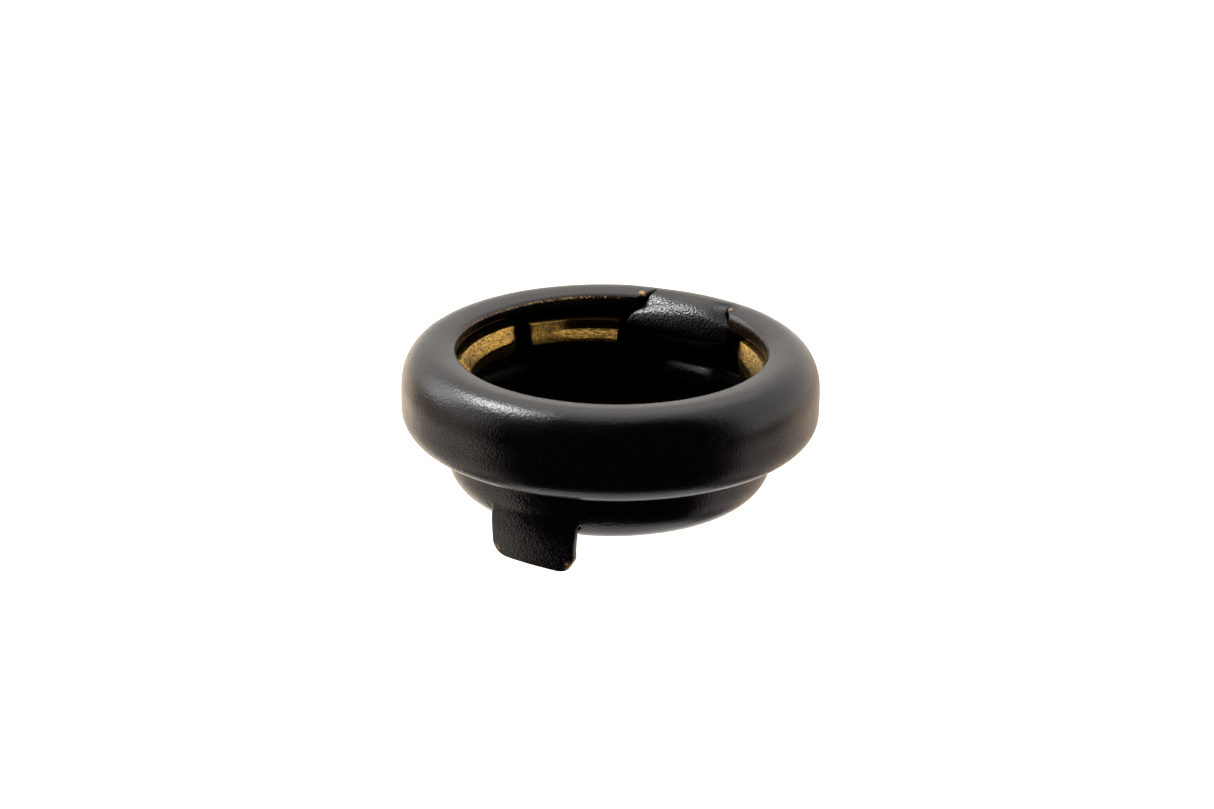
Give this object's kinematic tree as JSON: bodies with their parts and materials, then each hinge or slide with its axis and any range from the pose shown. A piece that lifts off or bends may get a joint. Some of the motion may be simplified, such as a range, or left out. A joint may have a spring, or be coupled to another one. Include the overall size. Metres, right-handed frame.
{
  "type": "snap fastener socket",
  "caption": "Directional snap fastener socket: black pressed rim with a rigid hook, base cup with a locating tab, and sprung brass jaws that grip a stud.",
  "frame": {"origin": "on the ring's axis, on the underside of the cup's floor, at the centre of the hole that the cap's barrel comes through", "axes": "+Z out of the mouth, towards the stud; the locating tab is at azimuth 242 degrees from +X towards +Y and the rigid hook opposite it, at 62 degrees"},
  "size_m": [0.014, 0.014, 0.006],
  "materials": {
    "black_finish": "satin black enamel over brass sheet, fine orange-peel grain, brass showing where edges are worn",
    "jaw_brass": "bare drawn brass, semi-bright, slightly tarnished",
    "spring_wire": "dark oil-blackened spring wire"
  },
  "bodies": {
    "housing": {"rim_shell": "black_finish", "base_cup": "black_finish", "jaw_spring": "spring_wire"},
    "jaw_1": {"jaw_1": "jaw_brass"},
    "jaw_2": {"jaw_2": "jaw_brass"},
    "jaw_3": {"jaw_3": "jaw_brass"},
    "jaw_4": {"jaw_4": "jaw_brass"},
    "jaw_5": {"jaw_5": "jaw_brass"},
    "jaw_6": {"jaw_6": "jaw_brass"}
  },
  "joints": [
    {"name": "jaw_1_slide", "type": "slide", "parent": "housing", "child": "jaw_1", "axis": [-0.2714, 0.9625, 0], "range_m": [0, 0.0003], "stiffness_N_per_m": 4000},
    {"name": "jaw_2_slide", "type": "slide", "parent": "housing", "child": "jaw_2", "axis": [-0.9157, 0.4019, 0], "range_m": [0, 0.0003], "stiffness_N_per_m": 4000},
    {"name": "jaw_3_slide", "type": "slide", "parent": "housing", "child": "jaw_3", "axis": [-0.8712, -0.4909, 0], "range_m": [0, 0.0003], "stiffness_N_per_m": 4000},
    {"name": "jaw_4_slide", "type": "slide", "parent": "housing", "child": "jaw_4", "axis": [-0.1305, -0.9914, 0], "range_m": [0, 0.0003], "stiffness_N_per_m": 4000},
    {"name": "jaw_5_slide", "type": "slide", "parent": "housing", "child": "jaw_5", "axis": [0.7145, -0.6997, 0], "range_m": [0, 0.0003], "stiffness_N_per_m": 4000},
    {"name": "jaw_6_slide", "type": "slide", "parent": "housing", "child": "jaw_6", "axis": [0.9891, 0.1469, 0], "range_m": [0, 0.0003], "stiffness_N_per_m": 4000}
  ]
}
